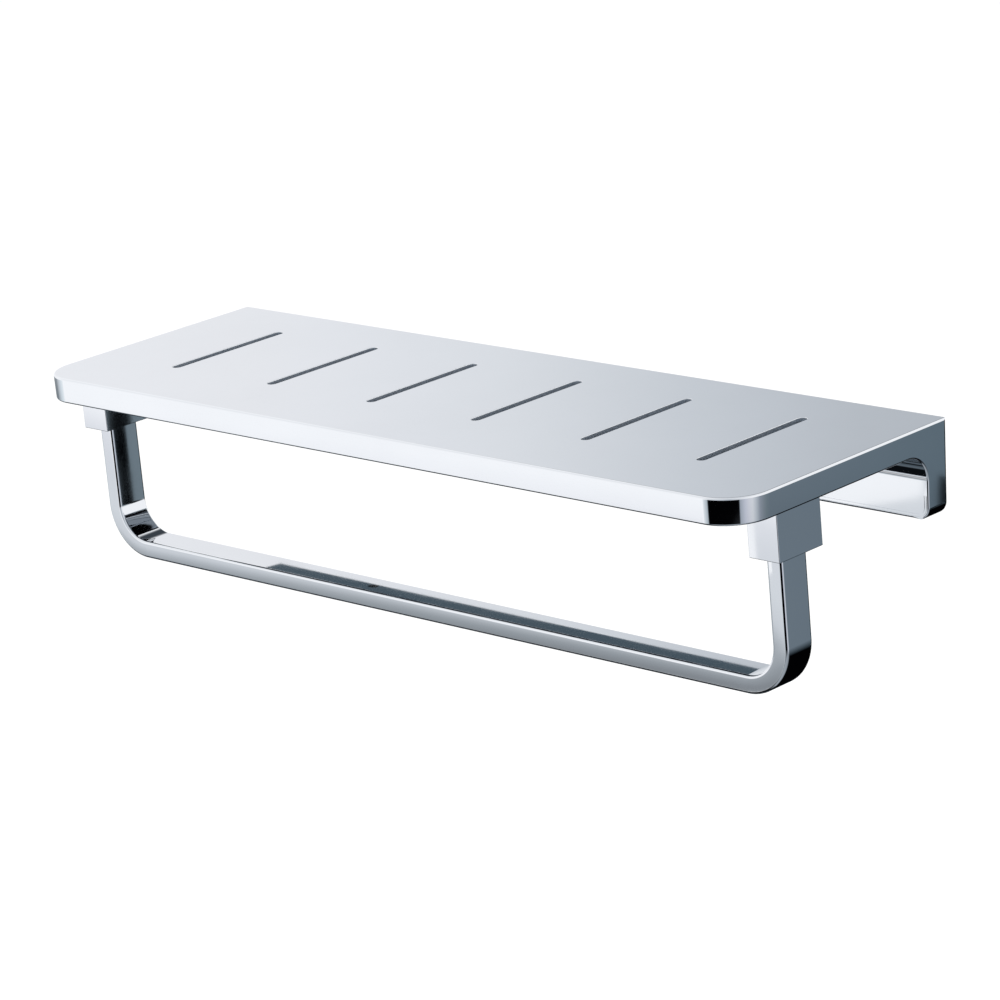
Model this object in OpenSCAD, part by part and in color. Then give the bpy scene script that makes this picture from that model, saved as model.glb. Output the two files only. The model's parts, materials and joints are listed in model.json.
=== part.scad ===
// Wall shelf with drain slots and a towel bar under its front edge.
// The shelf hooks over two dovetail brackets that are screwed to the wall, and a
// lock screw under each bracket wedges it tight. Two posts hang from the plate and
// hold the ends of the bent towel bar.
//
// Origin: middle of the flange's wall face. +X runs along the shelf, -Y points out
// into the room and +Z points up. All sizes are in millimetres.

/* [Shelf] */
// Length of the shelf along the wall
shelf_w = 400; // [370:5:500]
// Depth of the shelf from the wall to its front edge
shelf_d = 125; // [120:1:150]
// Thickness of the shelf plate
plate_t = 11; // [10:0.5:14]
// Radius of the plate's two front corners
corner_r = 18; // [4:1:24]
// Height of the rear flange, from the shelf's top to its lower edge
flange_h = 39; // [39:1:56]
// Thickness of the rear flange
flange_t = 12.5; // [10:0.5:16]
// Radius of the flange's two lower corners
flange_corner_r = 5; // [2:1:10]
// How far each end face leans in by the flange's lower edge, so the casting leaves its mould
end_draft = 1.8; // [0.2:0.1:3]
// Radius of the hollow where the plate's underside meets the flange
hollow_r = 12; // [4:1:14]

/* [Drain slots] */
// Number of drain slots
slot_count = 6; // [2:1:6]
// Distance from one slot to the next
slot_pitch = 60; // [40:1:60]
// Width of a slot
slot_w = 4.4; // [4.2:0.2:8]
// Length of a slot from end to end
slot_len = 64; // [30:1:70]
// Distance from the wall to the middle of the slots
slot_y = 57.5; // [56:0.5:62]

/* [Posts] */
// Width of a post along the shelf
post_w = 15; // [14:0.5:16]
// Depth of a post
post_d = 25.5; // [23:0.5:28]
// Height of a post under the plate
post_h = 19; // [18:0.5:26]
// Distance from the wall to the middle of the posts and of the towel bar
post_y = 90; // [86:0.5:94]
// Distance from the shelf's end to the middle of a post
post_inset = 8.7; // [8.7:0.1:20]

/* [Towel bar] */
// Thickness of the flat bar, in the plane that it is bent in
bar_t = 7.6; // [7.5:0.1:8]
// Width of the flat bar
bar_w = 15; // [10:0.5:15]
// Radius of the bar's long edges
bar_edge_r = 1.2; // [0.5:0.1:2.5]
// Outer radius of the bar's two bends
bend_r = 22; // [14:1:40]
// Height from the towel bar's lower face to the shelf's top
drop = 88; // [80:1:120]

/* [Wall brackets] */
// Distance from the shelf's middle to each bracket
bracket_x = 130; // [60:5:140]
// Length of a bracket
bracket_w = 34; // [30:1:36]
// Thickness of a bracket
bracket_t = 6.6; // [6:0.1:7]
// Height of a bracket on its wall side
bracket_h = 17; // [16:0.5:17]
// Extra height on each of the bracket's sloping edges, at its room side
bracket_flare = 3; // [1.5:0.5:3]
// Distance between a bracket's two wall screws
wall_screw_pitch = 20; // [16:1:20]
// Diameter of a bracket's screw holes
wall_screw_hole_d = 5.2; // [4.2:0.1:5.6]

/* [Hidden] */
$fn = 96;

LEFT = -1;
RIGHT = 1;

chrome = [0.80, 0.82, 0.85];
zinc = [0.62, 0.64, 0.66];
dark_steel = [0.30, 0.31, 0.33];
pad_grey = [0.35, 0.36, 0.38];

// How far a cutting shape runs past the face that it opens.
past = 1;

top_z = flange_h / 2;
plate_z = top_z - plate_t;
flange_z = -flange_h / 2;
post_x = shelf_w / 2 - post_inset;
post_z = plate_z - post_h;
bar_z = top_z - drop;

// Post: an M4 cap screw goes up through the web above the mortise.
web_t = 5;
mortise_gap = 0.1;
mortise_z = plate_z - web_t;
m4_r = 2;
m4_hole_r = 2.25;
cap_head_r = 3.5;
cap_head_h = 4;
cap_screw_len = 12;
cap_socket_af = 3;
cap_socket_depth = 2;
lock_washer_r = 3.8;
lock_washer_hole_r = 2.1;
lock_washer_t = 0.9;
lock_washer_split = 0.6;
tapped_depth = 8;
thread_gap = 0.05;
cap_head_top_z = mortise_z - lock_washer_t;
bar_end_z = cap_head_top_z - cap_head_h - 0.6;

// Two dowels beside the screw keep each post square to the shelf.
dowel_r = 1.5;
dowel_len = 8;
dowel_offset = (post_d / 2 + bar_w / 2 + mortise_gap) / 2;

// An M4 set screw in the back of each post holds the towel bar's end.
set_screw_len = 4;
set_socket_af = 2;
set_socket_depth = 1.8;
set_screw_z = (post_z + bar_end_z) / 2;
bar_back_y = -post_y + bar_w / 2;

// Bracket pocket in the flange, and the M5 lock screw below it.
pocket_gap = 0.4;
pocket_side_gap = 2;
pocket_drop = 3.4;
m5_r = 2.5;
lock_screw_len = 6;
lock_socket_af = 2.5;
lock_socket_depth = 2.5;
lock_tip_r = 1.75;
lock_tip_h = 0.75;
lock_tip_margin = 0.35;
lock_screw_y = -(bracket_t - lock_tip_r - lock_tip_margin);
csk_r = 4.8;

// Thin pads between the flange's outer ends and the wall.
pad_r = 7;
pad_t = 0.8;
pad_x = shelf_w / 2 - 25;

// A solid of the given outline in Y and Z, from x1 to x2.
module prism_along_x(x1, x2, points) {
    translate([x1, 0, 0])
        rotate([90, 0, 90])
            linear_extrude(height = x2 - x1)
                polygon(points);
}

// A hexagonal prism measured across its flats.
module hex_prism(across_flats, height) {
    cylinder(r = across_flats / sqrt(3), h = height, $fn = 6);
}

// The plate seen from above: square at the wall and round at the two front corners.
module plate_outline() {
    translate([-shelf_w / 2, -shelf_d + corner_r])
        square([shelf_w, shelf_d - corner_r]);
    translate([-shelf_w / 2 + corner_r, -shelf_d])
        square([shelf_w - 2 * corner_r, shelf_d]);
    for (side = [LEFT, RIGHT])
        translate([side * (shelf_w / 2 - corner_r), -shelf_d + corner_r])
            circle(r = corner_r);
}

// The flange seen from the front: square at the top and round at the lower corners.
// Each corner's circle touches the leaning end face, which end_wedge() cuts.
module flange_outline() {
    lean = atan(end_draft / flange_h);
    corner_x = shelf_w / 2 - (flange_h - flange_corner_r) * tan(lean) - flange_corner_r / cos(lean);
    touch_z = flange_z + flange_corner_r * (1 - sin(lean));
    middle_z = top_z - plate_t / 2;
    translate([-shelf_w / 2, touch_z])
        square([shelf_w, middle_z - touch_z]);
    translate([-corner_x, flange_z])
        square([2 * corner_x, middle_z - flange_z]);
    for (side = [LEFT, RIGHT])
        translate([side * corner_x, flange_z + flange_corner_r])
            circle(r = flange_corner_r);
}

// What is cut off the right end so that its face leans in below the shelf's top.
module end_wedge() {
    translate([0, past, 0])
        rotate([90, 0, 0])
            linear_extrude(height = shelf_d + 2 * past)
                polygon([
                    [shelf_w / 2, top_z],
                    [shelf_w / 2 - 2 * end_draft, top_z - 2 * flange_h],
                    [shelf_w / 2 + past, top_z - 2 * flange_h],
                    [shelf_w / 2 + past, top_z]
                ]);
}

// The solid corner under the plate that the hollow is cut from.
module hollow_corner() {
    difference() {
        translate([-shelf_w / 2, -flange_t - hollow_r, plate_z - hollow_r])
            cube([shelf_w, hollow_r + flange_t / 2, hollow_r + plate_t / 2]);
        translate([-shelf_w / 2 - past, -flange_t - hollow_r, plate_z - hollow_r])
            rotate([0, 90, 0])
                cylinder(r = hollow_r, h = shelf_w + 2 * past);
    }
}

// One drain slot with round ends, cut through the plate.
module drain_slot() {
    end_y = (slot_len - slot_w) / 2;
    translate([0, -slot_y, plate_z - past])
        linear_extrude(height = plate_t + 2 * past) {
            translate([-slot_w / 2, -end_y])
                square([slot_w, 2 * end_y]);
            for (end = [-1, 1])
                translate([0, end * end_y])
                    circle(d = slot_w);
        }
}

// Height of the bracket's sloping edge at a distance out from the wall.
function bracket_edge(out) = bracket_h / 2 + bracket_flare * out / bracket_t;

// The pocket that takes a bracket. Its upper wall slopes with the bracket's upper
// edge, and the room below it lets the shelf be lifted on.
module bracket_pocket() {
    depth = bracket_t + pocket_gap;
    upper = pocket_gap / 2;
    lower = -bracket_edge(depth) - pocket_drop;
    half = bracket_w / 2 + pocket_side_gap;
    prism_along_x(-half, half, [
        [past, lower],
        [past, bracket_edge(-past) + upper],
        [-depth, bracket_edge(depth) + upper],
        [-depth, lower]
    ]);
}

// The plate and flange in one piece, with every hole and recess.
module shelf_body() {
    color(chrome)
        difference() {
            union() {
                translate([0, 0, plate_z])
                    linear_extrude(height = plate_t)
                        plate_outline();
                rotate([90, 0, 0])
                    linear_extrude(height = flange_t)
                        flange_outline();
                hollow_corner();
            }
            end_wedge();
            mirror([1, 0, 0])
                end_wedge();
            for (i = [0 : slot_count - 1])
                translate([(i - (slot_count - 1) / 2) * slot_pitch, 0, 0])
                    drain_slot();
            for (side = [LEFT, RIGHT]) {
                translate([side * bracket_x, 0, 0])
                    bracket_pocket();
                translate([side * bracket_x, lock_screw_y, flange_z - past])
                    cylinder(r = m5_r + thread_gap, h = bracket_h);
                translate([side * pad_x, -pad_t, 0])
                    rotate([-90, 0, 0])
                        cylinder(r = pad_r, h = pad_t + past);
                translate([side * post_x, -post_y, plate_z - past])
                    cylinder(r = m4_r + thread_gap, h = tapped_depth + past);
                for (end = [-1, 1])
                    translate([side * post_x, -post_y + end * dowel_offset, plate_z - past])
                        cylinder(r = dowel_r, h = dowel_len / 2 + past);
            }
        }
}

// One post: a block with a mortise for the bar's end and a web for its screw.
module post(side) {
    color(chrome)
        translate([side * post_x, -post_y, 0])
            difference() {
                translate([-post_w / 2, -post_d / 2, post_z])
                    cube([post_w, post_d, post_h]);
                translate([-bar_t / 2 - mortise_gap, -bar_w / 2 - mortise_gap, post_z - past])
                    cube([
                        bar_t + 2 * mortise_gap,
                        bar_w + 2 * mortise_gap,
                        post_h - web_t + past
                    ]);
                translate([0, 0, mortise_z - past])
                    cylinder(r = m4_hole_r, h = web_t + 2 * past);
                for (end = [-1, 1])
                    translate([0, end * dowel_offset, plate_z - dowel_len / 2])
                        cylinder(r = dowel_r, h = dowel_len / 2 + past);
                translate([0, bar_w / 2, set_screw_z])
                    rotate([-90, 0, 0])
                        cylinder(r = m4_r + thread_gap, h = post_d / 2);
            }
}

// The flat bar's section, seen along the bar: bar_t wide and bar_w high.
module bar_section() {
    inner_t = bar_t - 2 * bar_edge_r;
    inner_w = bar_w - 2 * bar_edge_r;
    square([bar_t, inner_w], center = true);
    square([inner_t, bar_w], center = true);
    for (x = [-1, 1], y = [-1, 1])
        translate([x * inner_t / 2, y * inner_w / 2])
            circle(r = bar_edge_r);
}

// One flat bar bent into a U: two legs, two quarter bends and the towel run.
module towel_bar() {
    bend_mid_r = bend_r - bar_t / 2;
    bend_z = bar_z + bend_r;
    bend_x = post_x + bar_t / 2 - bend_r;
    color(chrome)
        translate([0, -post_y, 0]) {
            for (side = [LEFT, RIGHT]) {
                translate([side * post_x, 0, bend_z])
                    linear_extrude(height = bar_end_z - bend_z)
                        bar_section();
                translate([side * bend_x, 0, bend_z])
                    rotate([-90, side > 0 ? 0 : 90, 0])
                        rotate_extrude(angle = 90)
                            translate([bend_mid_r, 0])
                                bar_section();
            }
            translate([-bend_x, 0, bar_z + bar_t / 2])
                rotate([0, 90, 0])
                    linear_extrude(height = 2 * bend_x)
                        bar_section();
        }
}

// An M4 cap screw pointing up, with its head inside the mortise.
module post_screw(side) {
    color(dark_steel)
        translate([side * post_x, -post_y, cap_head_top_z])
            difference() {
                union() {
                    translate([0, 0, -cap_head_h])
                        cylinder(r = cap_head_r, h = cap_head_h);
                    cylinder(r = m4_r, h = cap_screw_len);
                }
                translate([0, 0, -cap_head_h - past])
                    hex_prism(cap_socket_af, cap_socket_depth + past);
            }
}

// The split lock washer between a cap screw's head and the post's web.
module post_washer(side) {
    color(zinc)
        translate([side * post_x, -post_y, cap_head_top_z])
            difference() {
                cylinder(r = lock_washer_r, h = lock_washer_t);
                translate([0, 0, -past])
                    cylinder(r = lock_washer_hole_r, h = lock_washer_t + 2 * past);
                translate([-lock_washer_split / 2, 0, -past])
                    cube([lock_washer_split, lock_washer_r + past, lock_washer_t + 2 * past]);
            }
}

// The two dowels of one post, half in the post and half in the plate.
module post_dowels(side) {
    color(zinc)
        for (end = [-1, 1])
            translate([side * post_x, -post_y + end * dowel_offset, plate_z - dowel_len / 2])
                cylinder(r = dowel_r, h = dowel_len);
}

// The set screw that comes in from a post's back and bears on the bar's end.
module bar_lock_screw(side) {
    color(dark_steel)
        translate([side * post_x, bar_back_y, set_screw_z])
            rotate([-90, 0, 0])
                difference() {
                    cylinder(r = m4_r, h = set_screw_len);
                    translate([0, 0, set_screw_len - set_socket_depth])
                        hex_prism(set_socket_af, set_socket_depth + past);
                }
}

// One wall bracket: a dovetail block, wider at its room side, with two
// countersunk holes for wall screws.
module wall_bracket(side) {
    color(zinc)
        translate([side * bracket_x, 0, 0])
            difference() {
                prism_along_x(-bracket_w / 2, bracket_w / 2, [
                    [0, -bracket_edge(0)],
                    [0, bracket_edge(0)],
                    [-bracket_t, bracket_edge(bracket_t)],
                    [-bracket_t, -bracket_edge(bracket_t)]
                ]);
                for (end = [-1, 1])
                    translate([end * wall_screw_pitch / 2, 0, 0])
                        rotate([90, 0, 0]) {
                            translate([0, 0, -past])
                                cylinder(d = wall_screw_hole_d, h = bracket_t + 2 * past);
                            translate([0, 0, bracket_t - csk_r + wall_screw_hole_d / 2])
                                cylinder(
                                    r1 = wall_screw_hole_d / 2,
                                    r2 = csk_r + past,
                                    h = csk_r - wall_screw_hole_d / 2 + past
                                );
                        }
            }
}

// The set screw that goes up through the flange's lower edge and wedges the shelf
// on its bracket.
module shelf_lock_screw(side) {
    tip_z = -bracket_edge(-lock_screw_y + lock_tip_r) - thread_gap;
    color(dark_steel)
        translate([side * bracket_x, lock_screw_y, tip_z - lock_screw_len])
            difference() {
                union() {
                    cylinder(r = m5_r, h = lock_screw_len - lock_tip_h);
                    translate([0, 0, lock_screw_len - lock_tip_h])
                        cylinder(r1 = m5_r, r2 = lock_tip_r, h = lock_tip_h);
                }
                translate([0, 0, -past])
                    hex_prism(lock_socket_af, lock_socket_depth + past);
            }
}

// A round self-adhesive pad in a shallow recess in the flange's back.
module wall_pad(side) {
    color(pad_grey)
        translate([side * pad_x, 0, 0])
            rotate([90, 0, 0])
                cylinder(r = pad_r, h = pad_t);
}

shelf_body();
post(LEFT);  // left_post
post(RIGHT);  // right_post
towel_bar();
post_screw(LEFT);  // left_post_screw
post_screw(RIGHT);  // right_post_screw
post_washer(LEFT);  // left_post_washer
post_washer(RIGHT);  // right_post_washer
post_dowels(LEFT);  // left_post_dowels
post_dowels(RIGHT);  // right_post_dowels
bar_lock_screw(LEFT);  // left_bar_lock_screw
bar_lock_screw(RIGHT);  // right_bar_lock_screw
wall_bracket(LEFT);  // left_wall_bracket
wall_bracket(RIGHT);  // right_wall_bracket
shelf_lock_screw(LEFT);  // left_shelf_lock_screw
shelf_lock_screw(RIGHT);  // right_shelf_lock_screw
wall_pad(LEFT);  // left_wall_pad
wall_pad(RIGHT);  // right_wall_pad
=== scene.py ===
"""Chrome towel rack: a wall shelf with drain slots and a flat towel bar under it.

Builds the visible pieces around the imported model, in metres and in the model's own
frame: the wall face is at y = 0, the shelf reaches out along -Y, and +Z points up.
"""

import json
import math

import bmesh
import bpy
from mathutils import Matrix, Vector


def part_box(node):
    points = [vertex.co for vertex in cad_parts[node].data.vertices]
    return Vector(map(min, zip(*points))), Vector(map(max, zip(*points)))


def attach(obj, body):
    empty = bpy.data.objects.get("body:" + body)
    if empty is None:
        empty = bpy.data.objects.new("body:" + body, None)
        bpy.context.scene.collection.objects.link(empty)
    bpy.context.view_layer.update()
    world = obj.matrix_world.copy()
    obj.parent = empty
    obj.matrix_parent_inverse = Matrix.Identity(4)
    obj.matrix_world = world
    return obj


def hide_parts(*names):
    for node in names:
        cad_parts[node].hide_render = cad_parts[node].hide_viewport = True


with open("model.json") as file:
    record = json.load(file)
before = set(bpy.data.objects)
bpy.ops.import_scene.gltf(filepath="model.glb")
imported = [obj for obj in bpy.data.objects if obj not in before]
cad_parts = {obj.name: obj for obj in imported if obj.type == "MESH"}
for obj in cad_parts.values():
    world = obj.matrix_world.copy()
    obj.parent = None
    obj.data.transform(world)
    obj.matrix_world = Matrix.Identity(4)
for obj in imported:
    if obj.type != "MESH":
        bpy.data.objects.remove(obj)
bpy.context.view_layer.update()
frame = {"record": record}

bl_info = {
    "name": "Chrome Towel Rack",
    "version": (1, 0, 0),
    "blender": (4, 5, 0),
    "location": "3D View > Sidebar > Towel Rack",
    "description": "Builds a chrome wall shelf with a towel bar, piece by piece",
    "category": "Add Mesh",
}

MM = 0.001
SIDES = {"left": -1, "right": 1}

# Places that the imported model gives.
SHELF_LOW, SHELF_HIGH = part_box("shelf_body")
POST_LOW, POST_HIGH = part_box("right_post")
BAR_LOW, BAR_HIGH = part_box("towel_bar")
BRACKET_LOW, BRACKET_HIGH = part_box("right_wall_bracket")
PAD_LOW, PAD_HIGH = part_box("right_wall_pad")
CAP_SCREW_LOW, CAP_SCREW_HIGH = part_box("right_post_screw")
SET_SCREW_LOW, SET_SCREW_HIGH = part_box("right_bar_lock_screw")
LOCK_SCREW_LOW, LOCK_SCREW_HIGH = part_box("right_shelf_lock_screw")
WASHER_LOW, WASHER_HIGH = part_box("right_post_washer")
DOWEL_LOW, DOWEL_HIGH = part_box("right_post_dowels")

PLATE_Z = POST_HIGH.z
POST_X = (POST_LOW.x + POST_HIGH.x) / 2
POST_Y = (POST_LOW.y + POST_HIGH.y) / 2
BRACKET_X = (BRACKET_LOW.x + BRACKET_HIGH.x) / 2
PAD_X = (PAD_LOW.x + PAD_HIGH.x) / 2
HOLES = next(m for m in frame["record"]["mounts"] if m["name"] == "right_bracket_holes")
SLOTS = [
    o for o in frame["record"]["physics"]["openings"] if o["name"].startswith("drain_slot")
]

# How far a cutting shape runs past the face that it opens.
PAST = 1 * MM
# An edge between faces at more than these angles, in degrees, can be rounded, and what
# is left is shaded as a sharp edge.
ROUNDED_ANGLE, SHARP_ANGLE = 25, 35
# How near a point lies to a face or an edge that it counts as on.
ON = 0.01 * MM
# How near an edge lies to a hole or to the shelf's end that it belongs to it.
NEAR = 3 * MM
# Points that meet within this distance are joined.
JOIN = 0.0005 * MM

DOWEL_RADIUS = 1.5 * MM
DOWEL_ENDS = (DOWEL_LOW.y + DOWEL_RADIUS, DOWEL_HIGH.y - DOWEL_RADIUS)
M4_TAPPED_RADIUS = 2.05 * MM
M4_CLEAR_RADIUS = 2.25 * MM
M4_TAPPED_DEPTH = 8 * MM


def length(name, description, default_mm):
    """A size in the sidebar. Its default is given in millimetres."""
    return bpy.props.FloatProperty(
        name=name,
        description=description,
        default=default_mm * MM,
        min=0.0,
        precision=5,
        unit="LENGTH",
        subtype="DISTANCE",
    )


def shade(name, description, default):
    """A colour in the sidebar, as an sRGB hex value."""
    return bpy.props.StringProperty(name=name, description=description, default=default)


class ShelfSizes(bpy.types.PropertyGroup):
    """Sizes of the shelf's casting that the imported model's boxes don't give."""

    corner_radius: length("Corner radius", "Radius of the plate's front corners", 18)
    flange_thickness: length("Flange thickness", "Thickness of the rear flange", 12.5)
    flange_corner: length("Flange corner", "Radius of the flange's lower corners", 5)
    hollow_radius: length("Hollow radius", "Radius where the plate meets the flange", 12)
    end_draft: length("End draft", "How far each end leans in at the lower edge", 1.8)
    slot_width: length("Slot width", "Width of a drain slot", 4.4)
    slot_length: length("Slot length", "Length of a drain slot", 64)
    top_rounding: length("Top rounding", "Rounding of the plate's top edge", 0.9)
    lower_rounding: length("Lower rounding", "Rounding of the plate's lower edge", 0.8)
    rear_rounding: length("Rear rounding", "Rounding of the flange's rear edges", 1.8)
    wall_rounding: length("Wall rounding", "Rounding of the plate's top edge at the wall", 0.4)
    groove_width: length("Groove width", "Width of the two fine lines in the rim", 0.3)
    groove_depth: length("Groove depth", "Depth of the two fine lines in the rim", 0.15)
    slot_rounding: length("Slot rounding", "Rounding of the slots' top edges", 0.25)


class BarSizes(bpy.types.PropertyGroup):
    """Sizes of the posts and of the flat towel bar."""

    edge_radius: length("Edge radius", "Radius of the bar's long edges", 1.2)
    bend_radius: length("Bend radius", "Outer radius of the bar's two bends", 22)
    mortise_gap: length("Mortise gap", "Gap round the bar's end in its post", 0.1)
    mortise_web: length("Mortise web", "Metal left above a post's mortise", 5)
    post_rounding: length("Post rounding", "Rounding of a post's edges", 0.3)


class HardwareSizes(bpy.types.PropertyGroup):
    """Sizes of the screws, brackets and pads."""

    m4_pitch: length("M4 pitch", "Thread pitch of the M4 screws", 0.7)
    m5_pitch: length("M5 pitch", "Thread pitch of the M5 screws", 0.8)
    cap_head_height: length("Cap head height", "Height of the cap screw's head", 4)
    cap_socket: length("Cap socket", "Key size of the cap screws", 3)
    set_socket: length("Set socket", "Key size of the M4 set screws", 2)
    lock_socket: length("Lock socket", "Key size of the M5 lock screws", 2.5)
    bracket_slope: length("Bracket slope", "Extra height of a bracket's room side", 3)
    bracket_rounding: length("Bracket rounding", "Rounding of a bracket's edges", 0.5)
    hole_rounding: length("Hole rounding", "Rounding of a bracket's hole edges", 0.15)
    washer_bore: length("Washer bore", "Radius of a washer's bore", 2.1)
    washer_rounding: length("Washer rounding", "Rounding of a washer's edges", 0.08)
    countersink: length("Countersink", "Radius of a bracket's countersinks", 4.8)
    pad_rounding: length("Pad rounding", "Rounding of a pad's rim", 0.25)


class RackColours(bpy.types.PropertyGroup):
    """Colours of the rack's finishes, of the slots' painted shade, and of the studio."""

    chrome: shade("Chrome", "Polished chrome plating", "#E6E8EB")
    # The slots' walls get this colour: a darker, bluer chrome that paints in their shade.
    slot_painted_shade: shade("Satin chrome", "Unbuffed chrome in the drain slots", "#C9D2DB")
    zinc: shade("Cast zinc", "Die-cast zinc of the brackets", "#A9ABAD")
    plated_steel: shade("Plated steel", "Bright zinc plating", "#C3C6C9")
    black_oxide: shade("Black oxide", "Black-oxide alloy steel", "#26272A")
    foam: shade("Foam", "Closed-cell foam pads", "#4A4C50")
    floor: shade("Floor", "Pale studio floor", "#FBFBFA")


# ---------------------------------------------------------------- materials


def linear(hex_value):
    """A linear RGBA colour from an sRGB hex value."""
    channels = [int(hex_value[i : i + 2], 16) / 255 for i in (1, 3, 5)]
    return tuple(
        c / 12.92 if c <= 0.04045 else ((c + 0.055) / 1.055) ** 2.4 for c in channels
    ) + (1.0,)


def add_node(tree, kind, settings=None, inputs=None, stops=()):
    """Adds a node with its settings, its inputs set or linked, and its ramp's (place,
    colour) stops. A node given as an input stands for its first output in use."""
    node = tree.nodes.new(kind)
    for name, value in (settings or {}).items():
        setattr(node, name, value)
    for key, value in (inputs or {}).items():
        for source in value if isinstance(value, list) else [value]:
            if isinstance(source, bpy.types.Node):
                source = next(socket for socket in source.outputs if socket.enabled)
            if isinstance(source, bpy.types.NodeSocket):
                tree.links.new(source, node.inputs[key])
            else:
                node.inputs[key].default_value = source
    if stops:
        elements = node.color_ramp.elements
        while len(elements) < len(stops):
            elements.new(0.5)
        for element, (place, _) in zip(elements, sorted(stops)):
            element.position = place
        for element, (_, colour) in zip(elements, sorted(stops)):
            element.color = linear(colour)
    return node


def new_material(name):
    """An empty node material, its tree, and the place on the object for its patterns."""
    material = bpy.data.materials.new(name)
    material.use_nodes = True
    tree = material.node_tree
    tree.nodes.clear()
    return material, tree, add_node(tree, "ShaderNodeTexCoord").outputs["Object"]


def darker(hex_value, share):
    """The hex value with each channel reduced by the given share."""
    channels = [round(int(hex_value[i : i + 2], 16) * (1 - share)) for i in (1, 3, 5)]
    return "#%02X%02X%02X" % tuple(channels)


# Noise stays mostly between these two values, so patterns are mapped from them.
NOISE_LOW, NOISE_HIGH = 0.3, 0.7


def polished_chrome():
    """Bright chrome plating, buffed: a mirror with a cool cast, a trace of polishing
    haze, and a very slight waviness left by the buffing wheel."""
    colour = bpy.context.scene.rack_colours.chrome
    material, tree, place = new_material("polished_chrome_plating")
    haze = add_node(
        tree, "ShaderNodeTexNoise", None, {"Vector": place, "Scale": 1 / (35 * MM), "Detail": 4}
    )
    # Buffing lines run along the rack and are about 0.4 mm apart.
    per_line = 1 / (0.4 * MM)
    drawn = add_node(
        tree,
        "ShaderNodeMapping",
        None,
        {"Vector": place, "Scale": (0.02 * per_line, per_line, per_line)},
    )
    lines = add_node(
        tree, "ShaderNodeTexNoise", None, {"Vector": drawn, "Scale": 1.0, "Detail": 1}
    )
    wave = add_node(
        tree, "ShaderNodeTexNoise", None, {"Vector": place, "Scale": 1 / (60 * MM), "Detail": 0}
    )
    waviness = add_node(
        tree, "ShaderNodeBump", None, {"Height": wave, "Distance": 0.02 * MM, "Strength": 1.0}
    )
    brushing = add_node(
        tree,
        "ShaderNodeBump",
        None,
        {"Height": lines, "Distance": 0.0003 * MM, "Strength": 1.0, "Normal": waviness},
    )
    tint = add_node(
        tree,
        "ShaderNodeMix",
        {"data_type": "RGBA"},
        {"Factor": haze, "A": linear(colour), "B": linear(darker(colour, 0.02))},
    )
    roughness = add_node(
        tree, "ShaderNodeMapRange", None, {0: haze, 1: NOISE_LOW, 2: NOISE_HIGH, 3: 0.02, 4: 0.05}
    )
    chrome = add_node(
        tree,
        "ShaderNodeBsdfPrincipled",
        None,
        {"Base Color": tint, "Metallic": 1.0, "Roughness": roughness, "Normal": brushing},
    )
    add_node(tree, "ShaderNodeOutputMaterial", None, {"Surface": chrome})
    return material


def grainy_metal(name, colour, roughness, grain, depth, lengthwise=1.0):
    """A plain metal whose surface has a grain of the given size and depth. Along Z the
    grain is finer or coarser by the lengthwise share."""
    material, tree, place = new_material(name)
    scaled = add_node(
        tree,
        "ShaderNodeMapping",
        None,
        {"Vector": place, "Scale": (1 / grain, 1 / grain, lengthwise / grain)},
    )
    fine = add_node(
        tree, "ShaderNodeTexNoise", None, {"Vector": scaled, "Scale": 1.0, "Detail": 3}
    )
    cloud = add_node(
        tree, "ShaderNodeTexNoise", None, {"Vector": place, "Scale": 1 / (12 * grain), "Detail": 2}
    )
    bump = add_node(
        tree, "ShaderNodeBump", None, {"Height": fine, "Distance": depth, "Strength": 0.7}
    )
    tint = add_node(
        tree,
        "ShaderNodeMix",
        {"data_type": "RGBA"},
        {"Factor": cloud, "A": linear(colour), "B": linear(darker(colour, 0.15))},
    )
    gloss = add_node(
        tree,
        "ShaderNodeMapRange",
        None,
        {0: cloud, 1: NOISE_LOW, 2: NOISE_HIGH, 3: roughness, 4: roughness + 0.12},
    )
    metal = add_node(
        tree,
        "ShaderNodeBsdfPrincipled",
        None,
        {"Base Color": tint, "Metallic": 1.0, "Roughness": gloss, "Normal": bump},
    )
    add_node(tree, "ShaderNodeOutputMaterial", None, {"Surface": metal})
    return material


def slot_chrome_with_painted_shade():
    """Chrome plating on the drain slots' walls: satin, and greyer and bluer than the polished
    chrome, which is painted shade of the deep slots.
    """
    colour = bpy.context.scene.rack_colours.slot_painted_shade
    return grainy_metal("slot_chrome_plating_painted_shade", colour, 0.45, 0.4 * MM, 0.001 * MM)


def die_cast_zinc():
    """Die-cast zinc as it leaves the mould: dull grey with a fine cast grain."""
    colour = bpy.context.scene.rack_colours.zinc
    return grainy_metal("die_cast_zinc", colour, 0.36, 0.5 * MM, 0.02 * MM)


def bright_zinc_steel():
    """Steel with bright zinc plating: light grey with faint drawing lines along Z."""
    colour = bpy.context.scene.rack_colours.plated_steel
    return grainy_metal("bright_zinc_plated_steel", colour, 0.24, 0.3 * MM, 0.006 * MM, 0.1)


def black_oxide_steel():
    """Black-oxide alloy steel: nearly black, oiled, with a faint metal sheen."""
    colour = bpy.context.scene.rack_colours.black_oxide
    return grainy_metal("black_oxide_steel", colour, 0.34, 0.25 * MM, 0.004 * MM)


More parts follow.
